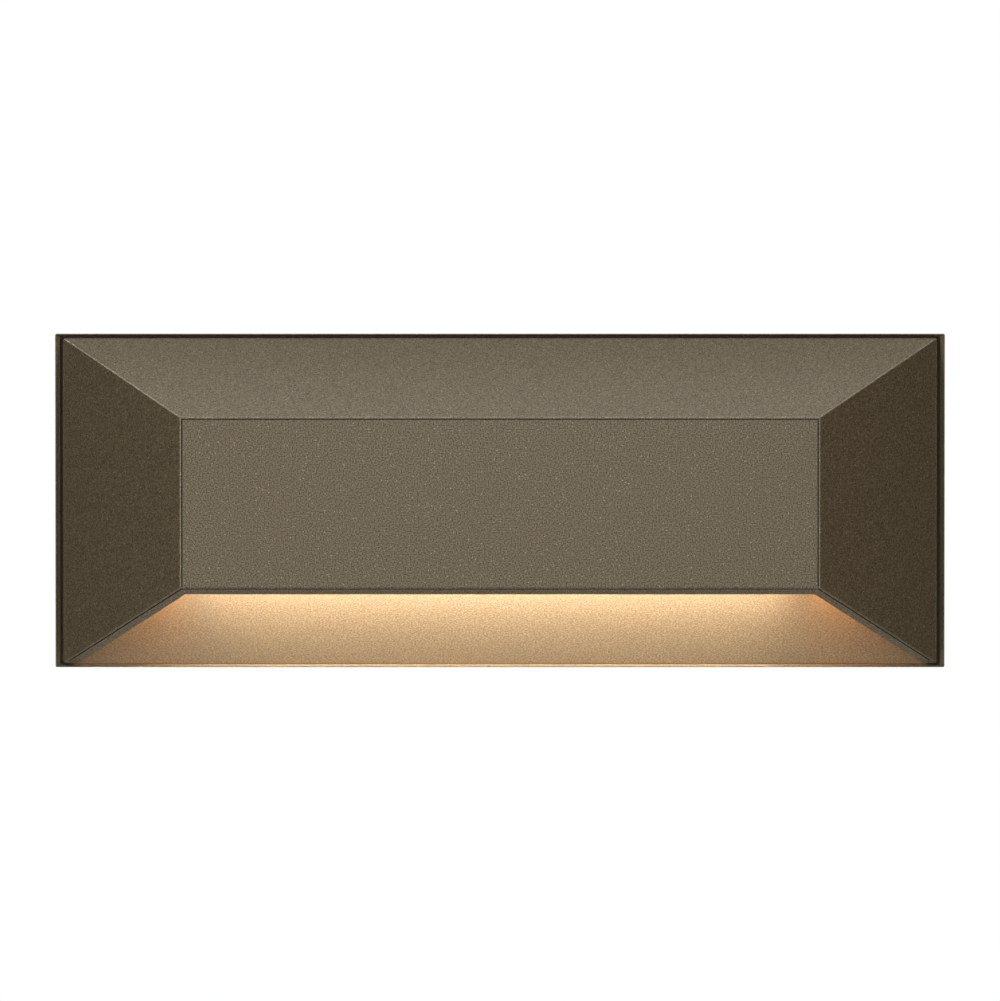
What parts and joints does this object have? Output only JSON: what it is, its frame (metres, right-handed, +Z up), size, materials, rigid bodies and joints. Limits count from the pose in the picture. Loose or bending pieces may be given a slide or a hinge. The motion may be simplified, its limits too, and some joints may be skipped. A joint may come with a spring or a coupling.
{
  "type": "deck sconce",
  "caption": "Wide bevelled wall-mounted deck sconce in textured bronze with a hidden LED strip that washes the wall plate below with warm light through its open underside.",
  "frame": {"origin": "centre of the back plate's wall face", "axes": "+Y into the wall, so the front faces -Y; +X to the right as seen from the front; +Z up"},
  "size_m": [0.2032, 0.033, 0.0762],
  "materials": {
    "bronze_powder_coat": "satin",
    "black_rubber": "matte",
    "grey_silicone": "matte",
    "mill_aluminium": "satin",
    "stainless_steel": "satin",
    "zinc_plated_steel": "satin",
    "white_solder_mask": "satin",
    "led_package_white": "satin",
    "led_phosphor": "matte",
    "frosted_polycarbonate": "satin",
    "black_nylon": "matte",
    "potting_resin": "satin",
    "green_circuit_board": "satin",
    "ferrite": "matte",
    "capacitor_can": "satin",
    "black_epoxy": "matte",
    "grey_polyamide": "matte",
    "brass": "satin",
    "tinned_copper": "satin",
    "solder": "gloss",
    "black_pvc": "satin",
    "white_pvc": "satin",
    "red_pvc": "satin"
  },
  "bodies": {
    "wall_plate": {"back_plate": "bronze_powder_coat", "wall_gasket": "black_rubber", "cable_grommet": "black_rubber", "led_bracket": "mill_aluminium", "bracket_screws": "stainless_steel", "thermal_pad": "grey_silicone", "led_board": "white_solder_mask", "led_packages": "led_package_white", "led_phosphors": "led_phosphor", "lens": "frosted_polycarbonate", "lens_gasket": "grey_silicone", "lens_screws": "stainless_steel", "driver_case": "black_nylon", "driver_board": "green_circuit_board", "driver_inductor": "ferrite", "driver_capacitor": "capacitor_can", "driver_rectifier": "black_epoxy", "driver_potting": "potting_resin", "driver_screws": "stainless_steel", "terminal_block": "grey_polyamide", "terminal_clamps": "brass", "terminal_screws": "zinc_plated_steel", "terminal_block_screw": "stainless_steel", "input_lead_black": "black_pvc", "input_lead_white": "white_pvc", "lead_ferrules": "tinned_copper", "output_lead_black": "black_pvc", "output_lead_red": "red_pvc", "lead_bushings": "black_rubber", "solder_joints": "solder"},
    "cover": {"cover": "bronze_powder_coat", "cover_gasket": "black_rubber"},
    "set_screw_left": {"set_screw_left": "stainless_steel"},
    "set_screw_right": {"set_screw_right": "stainless_steel"}
  },
  "joints": [
    {"name": "cover_pull_off", "type": "slide", "parent": "wall_plate", "child": "cover", "axis": [0, -1, 0], "range_m": [0, 0.045]},
    {"name": "set_screw_left_back_out", "type": "slide", "parent": "wall_plate", "child": "set_screw_left", "axis": [0, 0, -1], "range_m": [0, 0.004]},
    {"name": "set_screw_right_back_out", "type": "slide", "parent": "wall_plate", "child": "set_screw_right", "axis": [0, 0, -1], "range_m": [0, 0.004]}
  ]
}
